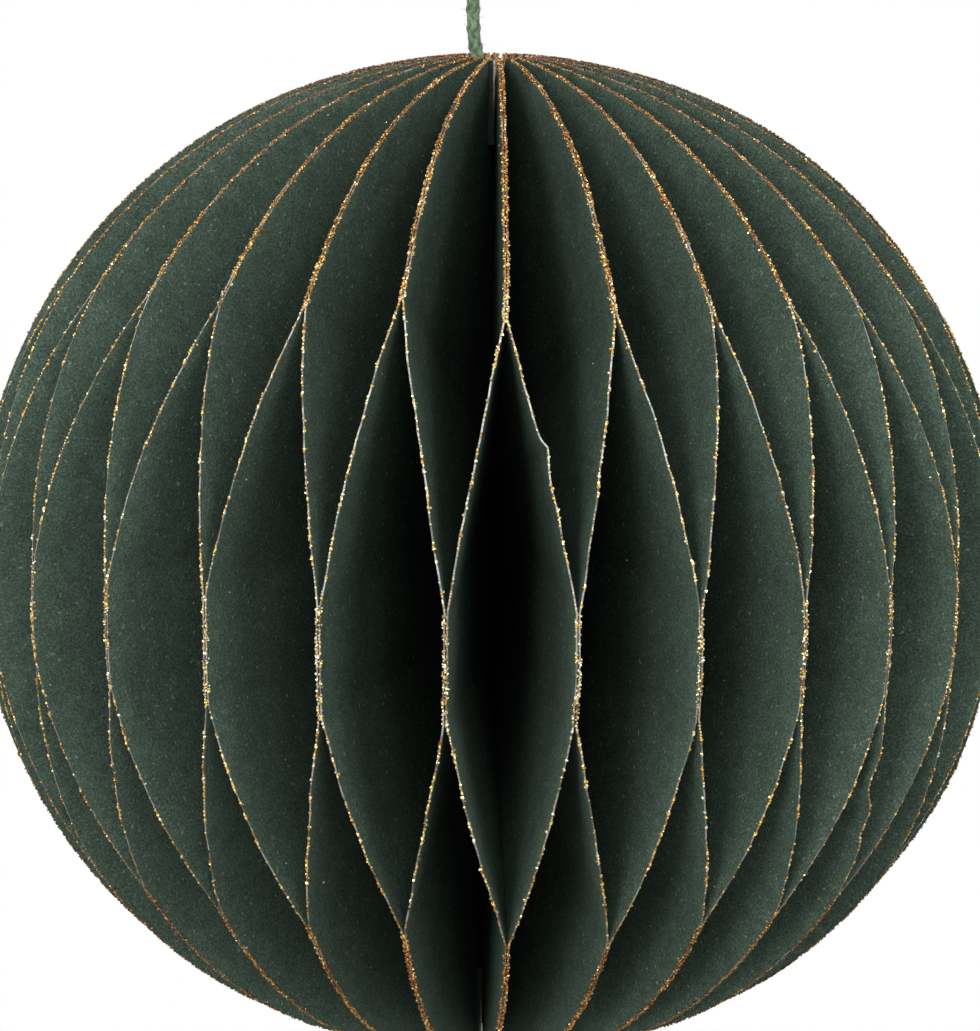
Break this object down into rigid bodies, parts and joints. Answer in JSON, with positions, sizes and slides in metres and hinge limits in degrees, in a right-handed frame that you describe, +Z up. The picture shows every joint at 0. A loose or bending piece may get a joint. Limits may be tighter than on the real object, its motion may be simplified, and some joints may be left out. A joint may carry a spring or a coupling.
{
  "type": "honeycomb paper ball ornament",
  "caption": "Hanging ball of half-round card leaves glued alternately to their neighbours into open honeycomb cells, with a knotted cord loop.",
  "frame": {"origin": "top of the inside of the hanging loop, where a hook holds it, on the ball's axis", "axes": "+Z up along the ball's axis, -Y towards the viewer of the picture, +X to the right"},
  "size_m": [0.0998, 0.0998, 0.1453],
  "materials": {
    "card": "matt deep green card with gold glitter on its cut edges",
    "strip": "thin matt paper strip with a pale cut edge",
    "cord": "braided grey-green cord, slightly fuzzy"
  },
  "bodies": {
    "root": {"leaf_01": "card", "leaf_02": "card", "leaf_03": "card", "leaf_04": "card", "leaf_05": "card", "leaf_06": "card", "leaf_07": "card", "leaf_08": "card", "leaf_09": "card", "leaf_10": "card", "leaf_11": "card", "leaf_12": "card", "leaf_13": "card", "leaf_14": "card", "leaf_15": "card", "leaf_16": "card", "leaf_17": "card", "leaf_18": "card", "leaf_19": "card", "leaf_20": "card", "leaf_21": "card", "leaf_22": "card", "leaf_23": "card", "leaf_24": "card", "leaf_25": "card", "leaf_26": "card", "leaf_27": "card", "leaf_28": "card", "leaf_29": "card", "leaf_30": "card", "leaf_31": "card", "leaf_32": "card", "leaf_33": "card", "leaf_34": "card", "leaf_35": "card", "leaf_36": "card", "leaf_37": "card", "leaf_38": "card", "leaf_39": "card", "leaf_40": "card", "leaf_41": "card", "leaf_42": "card", "leaf_43": "card", "leaf_44": "card", "leaf_45": "card", "leaf_46": "card", "leaf_47": "card", "leaf_48": "card", "leaf_49": "card", "leaf_50": "card", "leaf_51": "card", "leaf_52": "card", "leaf_53": "card", "leaf_54": "card", "leaf_55": "card", "leaf_56": "card", "closing_strips": "strip", "hanging_cord": "cord", "core_knot": "cord", "loop_knot": "cord"}
  },
  "joints": []
}
